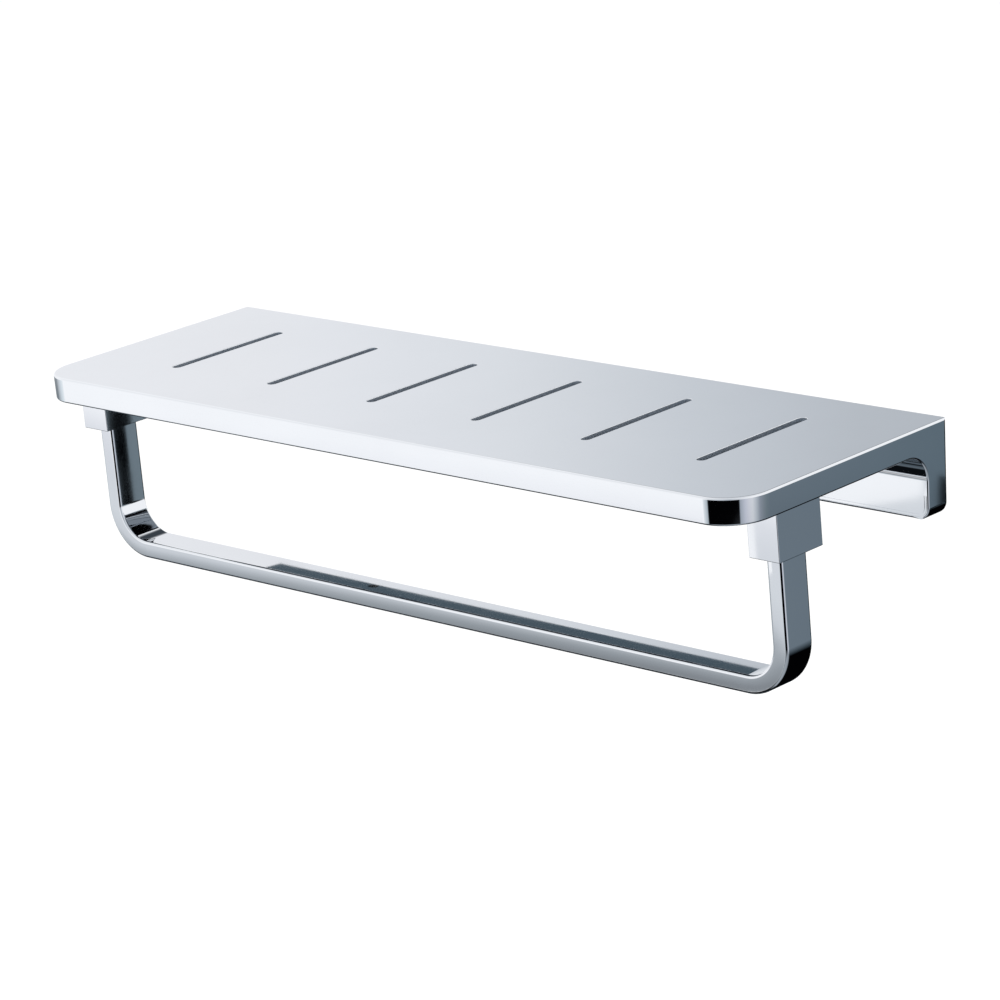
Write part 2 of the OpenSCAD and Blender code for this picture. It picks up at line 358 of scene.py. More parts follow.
def closed_cell_foam():
    """Closed-cell foam: matt dark grey, with cells about 0.3 mm across."""
    colour = bpy.context.scene.rack_colours.foam
    material, tree, place = new_material("closed_cell_foam")
    cells = add_node(
        tree, "ShaderNodeTexVoronoi", None, {"Vector": place, "Scale": 1 / (0.3 * MM)}
    )
    bump = add_node(
        tree, "ShaderNodeBump", None, {"Height": cells, "Distance": 0.05 * MM, "Strength": 0.8}
    )
    tint = add_node(
        tree,
        "ShaderNodeMix",
        {"data_type": "RGBA"},
        {"Factor": cells, "A": linear(darker(colour, 0.3)), "B": linear(colour)},
    )
    foam = add_node(
        tree,
        "ShaderNodeBsdfPrincipled",
        None,
        {"Base Color": tint, "Roughness": 0.9, "Normal": bump},
    )
    add_node(tree, "ShaderNodeOutputMaterial", None, {"Surface": foam})
    return material


MATERIAL_MAKERS = {
    "polished_chrome": polished_chrome,
    # Satin chrome for the slots' walls, darker and bluer as painted shade.
    "slot_painted_shade": slot_chrome_with_painted_shade,
    "cast_zinc": die_cast_zinc,
    "zinc_steel": bright_zinc_steel,
    "black_steel": black_oxide_steel,
    "soft_pad": closed_cell_foam,
}
made_materials = {}


def finish_of(slot):
    """The material of one of the record's slots, or the slots' satin chrome with painted shade,
    made once.
    """
    if slot not in made_materials:
        made_materials[slot] = MATERIAL_MAKERS[slot]()
    return made_materials[slot]


# ---------------------------------------------------------------- solid shapes

# The two axes that an outline's numbers run along, for each axis it is pushed along.
OUTLINE_AXES = {"X": ("Y", "Z"), "Y": ("X", "Z"), "Z": ("X", "Y")}
AXIS = {"X": Vector((1, 0, 0)), "Y": Vector((0, 1, 0)), "Z": Vector((0, 0, 1))}


def link_mesh(mesh, name):
    """A new object with the given mesh, in the scene."""
    piece = bpy.data.objects.new(name, mesh)
    bpy.context.scene.collection.objects.link(piece)
    return piece


def mesh_of(bm, name):
    """Closes a bmesh into a mesh with its faces outwards."""
    bmesh.ops.recalc_face_normals(bm, faces=bm.faces[:])
    mesh = bpy.data.meshes.new(name)
    bm.to_mesh(mesh)
    bm.free()
    return mesh


def prism(outline, along, start, end):
    """A solid of the given outline, from start to end along an axis."""
    across, up = (AXIS[a] for a in OUTLINE_AXES[along])
    bm = bmesh.new()
    rings = [
        [bm.verts.new(across * a + up * b + AXIS[along] * at) for a, b in outline]
        for at in (start, end)
    ]
    for ring in rings:
        bm.faces.new(ring)
    count = len(outline)
    for i in range(count):
        j = (i + 1) % count
        bm.faces.new((rings[0][i], rings[0][j], rings[1][j], rings[1][i]))
    return link_mesh(mesh_of(bm, "prism"), "prism")


def turned(profile, place, direction="Z", steps=48):
    """A solid turned about an axis through place. The profile is (radius, height) pairs
    that start and end on the axis."""
    bm = bmesh.new()
    rings = []
    for radius, height in profile:
        if radius == 0:
            rings.append([bm.verts.new((0, 0, height))])
            continue
        angles = [2 * math.pi * i / steps for i in range(steps)]
        rings.append(
            [bm.verts.new((radius * math.cos(a), radius * math.sin(a), height)) for a in angles]
        )
    for lower, upper in zip(rings, rings[1:]):
        for i in range(steps):
            j = (i + 1) % steps
            corners = [lower[i % len(lower)], lower[j % len(lower)]]
            corners += [upper[j % len(upper)], upper[i % len(upper)]]
            bm.faces.new(list(dict.fromkeys(corners)))
    turn = AXIS["Z"].rotation_difference(AXIS[direction]).to_matrix().to_4x4()
    bmesh.ops.transform(bm, matrix=Matrix.Translation(place) @ turn, verts=bm.verts[:])
    return link_mesh(mesh_of(bm, "turned"), "turned")


def rod(radius, place, direction, start, end, steps=48):
    """A round rod or hole along an axis, from start to end measured from place."""
    return turned([(0, start), (radius, start), (radius, end), (0, end)], place, direction, steps)


def arc(centre, radius, start, end, steps):
    """Points on an arc, with its angles in degrees."""
    points = []
    for i in range(steps + 1):
        angle = math.radians(start + (end - start) * i / steps)
        points.append(
            (centre[0] + radius * math.cos(angle), centre[1] + radius * math.sin(angle))
        )
    return points


def evaluated_mesh(piece):
    """The piece's mesh with its modifiers applied. The piece itself is removed."""
    bpy.context.view_layer.update()
    graph = bpy.context.evaluated_depsgraph_get()
    mesh = bpy.data.meshes.new_from_object(
        piece.evaluated_get(graph), preserve_all_data_layers=True, depsgraph=graph
    )
    bpy.data.objects.remove(piece)
    return mesh


def carve(body, cutters, seams=()):
    """The body with every cutter taken out of it. Its faces are first divided at each
    seam's x, through the middle of the holes, so that no face has a hole in it."""
    bm = bmesh.new()
    bm.from_mesh(body.data)
    for x in sorted(set(seams)):
        everything = bm.verts[:] + bm.edges[:] + bm.faces[:]
        bmesh.ops.bisect_plane(bm, geom=everything, plane_co=(x, 0, 0), plane_no=(1, 0, 0))
    bm.to_mesh(body.data)
    bm.free()
    group = bpy.data.collections.new("cutters")
    for cutter in cutters:
        group.objects.link(cutter)
    cut = body.modifiers.new("cut", "BOOLEAN")
    cut.operation = "DIFFERENCE"
    cut.operand_type = "COLLECTION"
    cut.collection = group
    cut.solver = "EXACT"
    mesh = evaluated_mesh(body)
    for cutter in cutters:
        bpy.data.objects.remove(cutter)
    bpy.data.collections.remove(group)
    bm = bmesh.new()
    bm.from_mesh(mesh)
    bmesh.ops.remove_doubles(bm, verts=bm.verts[:], dist=JOIN)
    bm.to_mesh(mesh)
    bm.free()
    return link_mesh(mesh, "carved")


def round_edges(body, radius_at, segments=4):
    """Rounds the sharp edges. radius_at gives an edge's radius from its middle."""
    mesh = body.data
    bm = bmesh.new()
    bm.from_mesh(mesh)
    weight = bm.edges.layers.float.new("bevel_weight_edge")
    radii = {}
    for edge in bm.edges:
        if edge.calc_face_angle(0) > math.radians(ROUNDED_ANGLE):
            radii[edge] = radius_at((edge.verts[0].co + edge.verts[1].co) / 2)
    widest = max(radii.values())
    for edge, radius in radii.items():
        edge[weight] = radius / widest
    bm.to_mesh(mesh)
    bm.free()
    bevel = body.modifiers.new("rounding", "BEVEL")
    bevel.limit_method = "WEIGHT"
    bevel.width = widest
    bevel.segments = segments
    bevel.use_clamp_overlap = False
    return link_mesh(evaluated_mesh(body), "rounded")


def finish_piece(body, name, slot, nodes, slot_painted_shade=None):
    """Names and shades a piece, hangs it on the frame and gives it its material. Faces
    whose middle passes the slot test get the satin chrome with painted shade."""
    if not body.data.polygons:
        raise RuntimeError(f"{name} came out empty")
    bpy.context.view_layer.update()
    for polygon in body.data.polygons:
        polygon.use_smooth = True
    bm = bmesh.new()
    bm.from_mesh(body.data)
    for edge in bm.edges:
        edge.smooth = edge.calc_face_angle(0) < math.radians(SHARP_ANGLE)
    bm.to_mesh(body.data)
    bm.free()
    flat = body.modifiers.new("flat_faces", "WEIGHTED_NORMAL")
    flat.mode = "FACE_AREA"
    flat.weight = 100
    flat.keep_sharp = True
    mesh = evaluated_mesh(body)
    mesh.name = name
    mesh.materials.clear()
    mesh.materials.append(finish_of(slot))
    # Faces in the slots get the satin chrome whose darker, bluer colour is painted shade.
    if slot_painted_shade:
        mesh.materials.append(finish_of("slot_painted_shade"))
        for polygon in mesh.polygons:
            polygon.material_index = 1 if slot_painted_shade(polygon.center) else 0
    piece = link_mesh(mesh, name)
    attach(piece, "root")
    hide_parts(*nodes)
    return piece


# ---------------------------------------------------------------- geometry node trees


def new_tree(name, sizes, counts=()):
    """A Geometry Nodes tree with the given length and count inputs, and a material."""
    tree = bpy.data.node_groups.new(name, "GeometryNodeTree")
    tree.interface.new_socket("Geometry", in_out="OUTPUT", socket_type="NodeSocketGeometry")
    for size in sizes:
        tree.interface.new_socket(size, in_out="INPUT", socket_type="NodeSocketFloat")
    for count in counts:
        tree.interface.new_socket(count, in_out="INPUT", socket_type="NodeSocketInt")
    tree.interface.new_socket("Material", in_out="INPUT", socket_type="NodeSocketMaterial")
    return tree, add_node(tree, "NodeGroupInput").outputs


def end_tree(tree, geometry, material):
    """Ends a tree in Realize Instances and Set Material."""
    real = add_node(tree, "GeometryNodeRealizeInstances", None, {"Geometry": geometry})
    painted = add_node(
        tree, "GeometryNodeSetMaterial", None, {"Geometry": real, "Material": material}
    )
    add_node(tree, "NodeGroupOutput", None, {0: painted})


def grown(tree, values):
    """A plain object with the mesh that a tree gives for these inputs."""
    holder = link_mesh(bpy.data.meshes.new("grown"), "grown")
    modifier = holder.modifiers.new("tree", "NODES")
    modifier.node_group = tree
    for item in tree.interface.items_tree:
        if item.in_out == "INPUT":
            modifier[item.identifier] = values[item.name]
    return link_mesh(evaluated_mesh(holder), "grown")


MATH = "ShaderNodeMath"
VECTOR = "ShaderNodeCombineXYZ"
ADD, TIMES, MINUS, OVER, TIMES_PLUS = (
    {"operation": name} for name in ("ADD", "MULTIPLY", "SUBTRACT", "DIVIDE", "MULTIPLY_ADD")
)


def flat_bar_tree():
    """A flat bar bent into a U: two legs, two bends and the run between them."""
    tree, size = new_tree(
        "flat_bar",
        ["Span", "Height", "Bend Radius", "Thickness", "Width", "Edge Radius"],
        ["Bend Steps", "Edge Steps"],
    )
    # Four points, the two legs' ends and the two corners, numbered from the left.
    line = add_node(tree, "GeometryNodeCurvePrimitiveLine")
    four = add_node(tree, "GeometryNodeResampleCurve", None, {"Curve": line, "Count": 4})
    number = add_node(tree, "GeometryNodeInputIndex")
    from_middle = add_node(tree, MATH, MINUS, {0: number, 1: 1.5})
    side = add_node(tree, MATH, {"operation": "SIGN"}, {0: from_middle})
    out = add_node(tree, MATH, {"operation": "ABSOLUTE"}, {0: from_middle})
    is_end = add_node(tree, MATH, {"operation": "GREATER_THAN"}, {0: out, 1: 1.0})
    half_span = add_node(tree, MATH, TIMES, {0: size["Span"], 1: 0.5})
    x = add_node(tree, MATH, TIMES, {0: side, 1: half_span})
    z = add_node(tree, MATH, TIMES, {0: is_end, 1: size["Height"]})
    corner = add_node(tree, VECTOR, None, {"X": x, "Z": z})
    path = add_node(
        tree, "GeometryNodeSetPosition", None, {"Geometry": four, "Position": corner}
    )
    bent = add_node(
        tree,
        "GeometryNodeFilletCurve",
        {"mode": "POLY"},
        {"Curve": path, "Radius": size["Bend Radius"], "Count": size["Bend Steps"]},
    )
    flat = add_node(
        tree,
        "GeometryNodeCurvePrimitiveQuadrilateral",
        None,
        {"Width": size["Thickness"], "Height": size["Width"]},
    )
    section = add_node(
        tree,
        "GeometryNodeFilletCurve",
        {"mode": "POLY"},
        {"Curve": flat, "Radius": size["Edge Radius"], "Count": size["Edge Steps"]},
    )
    swept = add_node(
        tree,
        "GeometryNodeCurveToMesh",
        None,
        {"Curve": bent, "Profile Curve": section, "Fill Caps": True},
    )
    end_tree(tree, swept, size["Material"])
    return tree


def drain_slots_tree():
    """A row of round-ended bars that cut the drain slots."""
    tree, size = new_tree("drain_slots", ["Width", "Length", "Pitch", "Depth"], ["Count"])
    oblong = add_node(
        tree,
        "GeometryNodeCurvePrimitiveQuadrilateral",
        None,
        {"Width": size["Width"], "Height": size["Length"]},
    )
    # A little under half the width, so that the two arcs of an end don't meet twice.
    end_radius = add_node(tree, MATH, TIMES, {0: size["Width"], 1: 0.49999})
    rounded = add_node(
        tree,
        "GeometryNodeFilletCurve",
        {"mode": "POLY"},
        {"Curve": oblong, "Radius": end_radius, "Count": 11},
    )
    face = add_node(tree, "GeometryNodeFillCurve", {"mode": "NGONS"}, {"Curve": rounded})
    raised = add_node(
        tree,
        "GeometryNodeExtrudeMesh",
        None,
        {"Mesh": face, "Offset Scale": size["Depth"], "Individual": False},
    )
    lower = add_node(tree, "GeometryNodeFlipFaces", None, {"Mesh": face})
    both = add_node(tree, "GeometryNodeJoinGeometry", None, {"Geometry": [raised, lower]})
    bar = add_node(
        tree, "GeometryNodeMergeByDistance", None, {"Geometry": both, "Distance": 0.001 * MM}
    )
    steps = add_node(tree, MATH, MINUS, {0: size["Count"], 1: 1})
    row_length = add_node(tree, MATH, TIMES, {0: steps, 1: size["Pitch"]})
    start = add_node(tree, MATH, TIMES, {0: row_length, 1: -0.5})
    first = add_node(tree, VECTOR, None, {"X": start})
    step = add_node(tree, VECTOR, None, {"X": size["Pitch"]})
    row = add_node(
        tree,
        "GeometryNodeMeshLine",
        None,
        {"Count": size["Count"], "Start Location": first, "Offset": step},
    )
    slots = add_node(
        tree, "GeometryNodeInstanceOnPoints", None, {"Points": row, "Instance": bar}
    )
    end_tree(tree, slots, size["Material"])
    return tree


SCREW_SIZES = [
    "Radius", "Pitch", "Length", "Head Radius", "Head Height", "Key", "Key Depth", "Tip",
]


def screw_tree():
    """A screw with a real thread, a head if it has one, and a hexagon socket. It starts
    at the origin with the socket's face and points along +Z."""
    tree, size = new_tree("threaded_screw", SCREW_SIZES, ["Steps"])
    depth = add_node(tree, MATH, TIMES, {0: size["Pitch"], 1: 0.54})
    core_radius = add_node(tree, MATH, MINUS, {0: size["Radius"], 1: depth})
    shank = add_node(tree, MATH, MINUS, {0: size["Length"], 1: size["Head Height"]})
    cone = add_node(tree, MATH, TIMES, {0: size["Pitch"], 1: 0.8})
    core_length = add_node(tree, MATH, MINUS, {0: shank, 1: cone})
    thread_length = add_node(tree, MATH, MINUS, {0: core_length, 1: size["Pitch"]})
    turns = add_node(tree, MATH, OVER, {0: thread_length, 1: size["Pitch"]})
    # Across its corners a hexagon is 1.1547 times its key size.
    key_radius = add_node(tree, MATH, TIMES, {0: size["Key"], 1: 0.57735})
    key_length = add_node(tree, MATH, TIMES, {0: size["Key Depth"], 1: 2.0})
    # The thread: a ridge that winds up the core.
    helix = add_node(
        tree,
        "GeometryNodeCurveSpiral",
        None,
        {
            "Resolution": size["Steps"],
            "Rotations": turns,
            "Start Radius": core_radius,
            "End Radius": core_radius,
            "Height": thread_length,
        },
    )
    ridge = add_node(
        tree,
        "GeometryNodeCurvePrimitiveCircle",
        {"mode": "RADIUS"},
        {"Resolution": 4, "Radius": depth},
    )
    solids = {
        "thread": add_node(
            tree,
            "GeometryNodeCurveToMesh",
            None,
            {"Curve": helix, "Profile Curve": ridge, "Fill Caps": True},
        ),
        "tip": add_node(
            tree,
            "GeometryNodeMeshCone",
            None,
            {
                "Vertices": 32,
                "Radius Top": size["Tip"],
                "Radius Bottom": core_radius,
                "Depth": cone,
            },
        ),
    }
    for name, vertices, radius, height in (
        ("core", 32, core_radius, core_length),
        ("head", 48, size["Head Radius"], size["Head Height"]),
        ("key", 6, key_radius, key_length),
    ):
        solids[name] = add_node(
            tree,
            "GeometryNodeMeshCylinder",
            None,
            {"Vertices": vertices, "Radius": radius, "Depth": height},
        )
    # How far up each solid's own middle or start stands.
    heights = {
        "thread": (TIMES_PLUS, size["Pitch"], 0.5, size["Head Height"]),
        "tip": (ADD, size["Head Height"], core_length, 0.0),
        "core": (TIMES_PLUS, core_length, 0.5, size["Head Height"]),
        "head": (TIMES, size["Head Height"], 0.5, 0.0),
    }
    for name, (operation, first, second, third) in heights.items():
        height = add_node(tree, MATH, operation, {0: first, 1: second, 2: third})
        at = add_node(tree, VECTOR, None, {"Z": height})
        solids[name] = add_node(
            tree, "GeometryNodeTransform", None, {"Geometry": solids[name], "Translation": at}
        )
    blank = add_node(
        tree, "GeometryNodeJoinGeometry", None, {"Geometry": [solids["head"], solids["core"]]}
    )
    socketed = add_node(
        tree,
        "GeometryNodeMeshBoolean",
        {"operation": "DIFFERENCE", "solver": "EXACT"},
        {"Mesh 1": blank, "Mesh 2": solids["key"], "Self Intersection": True},
    )
    whole = add_node(
        tree,
        "GeometryNodeJoinGeometry",
        None,
        {"Geometry": [socketed, solids["tip"], solids["thread"]]},
    )
    end_tree(tree, whole, size["Material"])
    return tree


# ---------------------------------------------------------------- pieces


def mirrored(outline, side):
    """An outline on the rack's right, or its mirror image on the left."""
    return [(side * a, b) for a, b in outline]


# Room round a bracket in its pocket.
POCKET_GAP_BEHIND, POCKET_GAP_ABOVE, POCKET_GAP_BESIDE = 0.4 * MM, 0.3 * MM, 2 * MM
POCKET_ROOM_BELOW = 3.6 * MM
LOCK_SCREW_GAP = 0.05 * MM
# A face within this distance of a slot's outline is part of the slot's wall.
SLOT_MARGIN = 0.6 * MM
# How far in from the flange's rim its two fine lines run.
GROOVE_INSETS = (1.0 * MM, 2.1 * MM)


def shelf_cutters(sizes):
    """Everything that is cut out of the shelf's casting."""
    cutters = []
    half, front = SHELF_HIGH.x, SHELF_LOW.y
    low, top = SHELF_LOW.z, SHELF_HIGH.z
    radius = sizes.corner_radius
    small = sizes.flange_corner
    for side in SIDES.values():
        # The plate's front corner.
        outline = arc((half - radius, front + radius), radius, -90, 0, 32)
        outline += [(half + PAST, front + radius), (half + PAST, front - PAST)]
        outline += [(half - radius, front - PAST)]
        cutters.append(prism(mirrored(outline, side), "Z", PLATE_Z - 2 * PAST, top + PAST))
        # The flange's lower corner.
        outline = arc((half - small, low + small), small, 0, -90, 16)
        outline += [(half - small, low - PAST), (half + PAST, low - PAST)]
        outline += [(half + PAST, low + small)]
        cutters.append(prism(mirrored(outline, side), "Y", front - PAST, PAST))
        # The pocket for the bracket, its lock screw's hole and the pad's recess.
        depth = -BRACKET_LOW.y + POCKET_GAP_BEHIND
        inner, outer = BRACKET_HIGH.z, BRACKET_HIGH.z + POCKET_GAP_ABOVE
        slope = bpy.context.scene.hardware_sizes.bracket_slope / -BRACKET_LOW.y
        wall_side = inner - slope * depth
        floor_z = BRACKET_LOW.z - POCKET_ROOM_BELOW
        pocket = [(PAST, floor_z), (PAST, wall_side - slope * PAST + 0.2 * MM)]
        pocket += [(-depth, outer), (-depth, floor_z)]
        reach = (BRACKET_HIGH.x - BRACKET_LOW.x) / 2 + POCKET_GAP_BESIDE
        middle = side * BRACKET_X
        cutters.append(prism(pocket, "X", middle - reach, middle + reach))
        lock_y = (LOCK_SCREW_LOW.y + LOCK_SCREW_HIGH.y) / 2
        lock_radius = (LOCK_SCREW_HIGH.x - LOCK_SCREW_LOW.x) / 2 + LOCK_SCREW_GAP
        place = Vector((side * BRACKET_X, lock_y, 0))
        cutters.append(rod(lock_radius, place, "Z", low - PAST, floor_z + PAST))
        pad_place = Vector((side * PAD_X, 0, 0))
        pad_radius = (PAD_HIGH.x - PAD_LOW.x) / 2
        cutters.append(rod(pad_radius, pad_place, "Y", PAD_LOW.y, PAST))
        # The tapped hole and the dowel holes over the post.
        holes = [(POST_Y, M4_TAPPED_RADIUS, PLATE_Z + M4_TAPPED_DEPTH)]
        holes += [(end, DOWEL_RADIUS, DOWEL_HIGH.z) for end in DOWEL_ENDS]
        for y, hole_radius, up_to in holes:
            place = Vector((side * POST_X, y, 0))
            cutters.append(rod(hole_radius, place, "Z", PLATE_Z - PAST, up_to))
    return cutters


def rim_groove(sizes, inset):
    """A fine line that follows the flange's lower rim at a distance from its edge."""
    half, low = SHELF_HIGH.x, SHELF_LOW.z
    radius = sizes.flange_corner
    groove = sizes.groove_width
    bands = []
    for offset in (inset, inset + groove):
        right = arc((half - radius, low + radius), radius - offset, 0, -90, 12)
        right = [(half - offset, low + 2 * radius)] + right
        bands.append(right + [(-a, b) for a, b in reversed(right)])
    outline = bands[0] + bands[1][::-1]
    face = -sizes.flange_thickness
    return prism(outline, "Y", face - PAST, face + sizes.groove_depth)


def lean_ends(body, sizes):
    """Leans the two ends in below the top, a little more towards each end."""
    half, top = SHELF_HIGH.x, SHELF_HIGH.z
    reach = sizes.corner_radius
    for vertex in body.data.vertices:
        share = max(0.0, (abs(vertex.co.x) - half + reach) / reach)
        fall = (top - vertex.co.z) / (top - SHELF_LOW.z)
        vertex.co.x -= math.copysign(sizes.end_draft * share * fall, vertex.co.x)


def shelf_radius_at(sizes):
    """How far each edge of the shelf is rounded."""
    half, front = SHELF_HIGH.x, SHELF_LOW.y
    low, top = SHELF_LOW.z, SHELF_HIGH.z
    slot_low = min(s["box_m"][0][1] for s in SLOTS) - NEAR
    slot_high = max(s["box_m"][1][1] for s in SLOTS) + NEAR

    def radius_at(middle):
        near_end = abs(middle.x) > half - NEAR
        is_top = middle.z > top - ON
        inside = abs(middle.x) < half - sizes.corner_radius
        if is_top and inside and slot_low < middle.y < slot_high:
            return sizes.slot_rounding
        if is_top:
            return sizes.top_rounding if middle.y < -ON else sizes.wall_rounding
        if middle.y > -ON:
            low_down = middle.z < low + sizes.flange_corner + PAST
            return sizes.rear_rounding if near_end or low_down else 0.0
        # The fine lines lie further in from the rim than this and stay sharp.
        corner = sizes.flange_corner
        in_x, in_z = half - abs(middle.x), middle.z - low
        inset = min(in_x, in_z)
        if max(in_x, in_z) < corner:
            inset = corner - math.hypot(corner - in_x, corner - in_z)
        if inset > 0.7 * GROOVE_INSETS[0] and middle.y > -sizes.flange_thickness - ON:
            return 0.0
        plate_edge = abs(middle.z - PLATE_Z) < ON and (
            middle.y < front + sizes.corner_radius or near_end
        )
        flange_end = near_end and middle.y > front + sizes.corner_radius
        if plate_edge or flange_end:
            return sizes.lower_rounding
        if in_z < ON and abs(middle.y + sizes.flange_thickness) < ON:
            return sizes.lower_rounding
        return 0.0

    return radius_at


class RACK_OT_shelf(bpy.types.Operator):
    """Build the shelf: plate, rear flange, hollow, drain slots and bracket pockets"""

    bl_idname = "rack.shelf"
    bl_label = "Shelf"

    def execute(self, context):
        sizes = context.scene.shelf_sizes
        low, top = SHELF_LOW.z, SHELF_HIGH.z
        hollow = (-sizes.flange_thickness - sizes.hollow_radius, PLATE_Z - sizes.hollow_radius)
        section = [(0, low), (0, top), (SHELF_LOW.y, top), (SHELF_LOW.y, PLATE_Z)]
        section += arc(hollow, sizes.hollow_radius, 90, 0, 24)
        section += [(-sizes.flange_thickness, low)]
        body = prism(section, "X", SHELF_LOW.x, SHELF_HIGH.x)
        pitch = SLOTS[1]["box_m"][0][0] - SLOTS[0]["box_m"][0][0]
        slots = grown(
            drain_slots_tree(),
            {
                "Width": sizes.slot_width,
                "Length": sizes.slot_length,
                "Pitch": pitch,
                "Depth": top - PLATE_Z + 2 * PAST,
                "Count": len(SLOTS),
                "Material": finish_of("polished_chrome"),
            },
        )
        slot_y = (SLOTS[0]["box_m"][0][1] + SLOTS[0]["box_m"][1][1]) / 2
        slots.data.transform(Matrix.Translation((0, slot_y, PLATE_Z - PAST)))
        slot_xs = [(s["box_m"][0][0] + s["box_m"][1][0]) / 2 for s in SLOTS]
        seams = [side * x for side in SIDES.values() for x in (POST_X, PAD_X, BRACKET_X)]
        grooves = [rim_groove(sizes, inset) for inset in GROOVE_INSETS]
        body = carve(body, [slots] + grooves + shelf_cutters(sizes), seams + slot_xs)
        body = round_edges(body, shelf_radius_at(sizes), segments=5)
        lean_ends(body, sizes)

        # Faces of the slots' walls, which get the satin chrome with painted shade.
        def in_slot(middle):
            return (
                PLATE_Z + SLOT_MARGIN < middle.z < top - sizes.slot_rounding
                and abs(middle.y - slot_y) < sizes.slot_length / 2 + SLOT_MARGIN
                and min(abs(middle.x - x) for x in slot_xs) < sizes.slot_width / 2 + SLOT_MARGIN
            )

        finish_piece(body, "shelf", "polished_chrome", ["shelf_body"], slot_painted_shade=in_slot)
        return {"FINISHED"}


class RACK_OT_posts(bpy.types.Operator):
    """Build the two posts, each with a mortise for the bar's end"""

    bl_idname = "rack.posts"
    bl_label = "Posts"

    def execute(self, context):
        sizes = context.scene.bar_sizes
        half_x = (BAR_HIGH.x - POST_X) + sizes.mortise_gap
        half_y = (BAR_HIGH.y - BAR_LOW.y) / 2 + sizes.mortise_gap
        mortise_top = PLATE_Z - sizes.mortise_web
        for name, side in SIDES.items():
            x = side * POST_X
            width = POST_HIGH.x - POST_LOW.x
            block = [(x - width / 2, POST_LOW.y), (x + width / 2, POST_LOW.y)]
            block += [(x + width / 2, POST_HIGH.y), (x - width / 2, POST_HIGH.y)]
            hole = [(x - half_x, POST_Y - half_y), (x + half_x, POST_Y - half_y)]
            hole += [(x + half_x, POST_Y + half_y), (x - half_x, POST_Y + half_y)]
            screw_z = (SET_SCREW_LOW.z + SET_SCREW_HIGH.z) / 2
            cutters = [
                prism(hole, "Z", POST_LOW.z - PAST, mortise_top),
                rod(
                    M4_CLEAR_RADIUS, Vector((x, POST_Y, 0)), "Z",
                    mortise_top - PAST, PLATE_Z + PAST,
                ),
                rod(
                    M4_TAPPED_RADIUS, Vector((x, 0, screw_z)), "Y",
                    SET_SCREW_LOW.y - PAST, POST_HIGH.y + PAST,
                ),
            ]
            for end in DOWEL_ENDS:
                place = Vector((x, end, 0))
                cutters.append(rod(DOWEL_RADIUS, place, "Z", DOWEL_LOW.z, PLATE_Z + PAST))

            def radius_at(middle):
                inside_x = abs(middle.x - x) < width / 2 - ON
                inside_y = POST_LOW.y + ON < middle.y < POST_HIGH.y - ON
                at_top = middle.z > PLATE_Z - ON
                if at_top or (inside_x and inside_y):
                    return 0.0
                round_hole = abs(middle.x - x) < NEAR and abs(middle.z - screw_z) < NEAR
                return 0.0 if round_hole else sizes.post_rounding

            body = carve(prism(block, "Z", POST_LOW.z, POST_HIGH.z), cutters, [x])
            body = round_edges(body, radius_at, segments=3)
            finish_piece(body, f"{name}_post_block", "polished_chrome", [f"{name}_post"])
        return {"FINISHED"}


class RACK_OT_towel_bar(bpy.types.Operator):
    """Build the flat towel bar, bent into a U"""

    bl_idname = "rack.towel_bar"
    bl_label = "Towel bar"

    def execute(self, context):
        sizes = context.scene.bar_sizes
        thickness = 2 * (BAR_HIGH.x - POST_X)
        bar = grown(
            flat_bar_tree(),
            {
                "Span": 2 * POST_X,
                "Height": BAR_HIGH.z - BAR_LOW.z - thickness / 2,
                "Bend Radius": sizes.bend_radius - thickness / 2,
                "Thickness": thickness,
                "Width": BAR_HIGH.y - BAR_LOW.y,
                "Edge Radius": sizes.edge_radius,
                "Bend Steps": 48,
                "Edge Steps": 5,
                "Material": finish_of("polished_chrome"),
            },
        )
        bar.data.transform(Matrix.Translation((0, POST_Y, BAR_LOW.z + thickness / 2)))
        finish_piece(bar, "bent_towel_bar", "polished_chrome", ["towel_bar"])
        return {"FINISHED"}


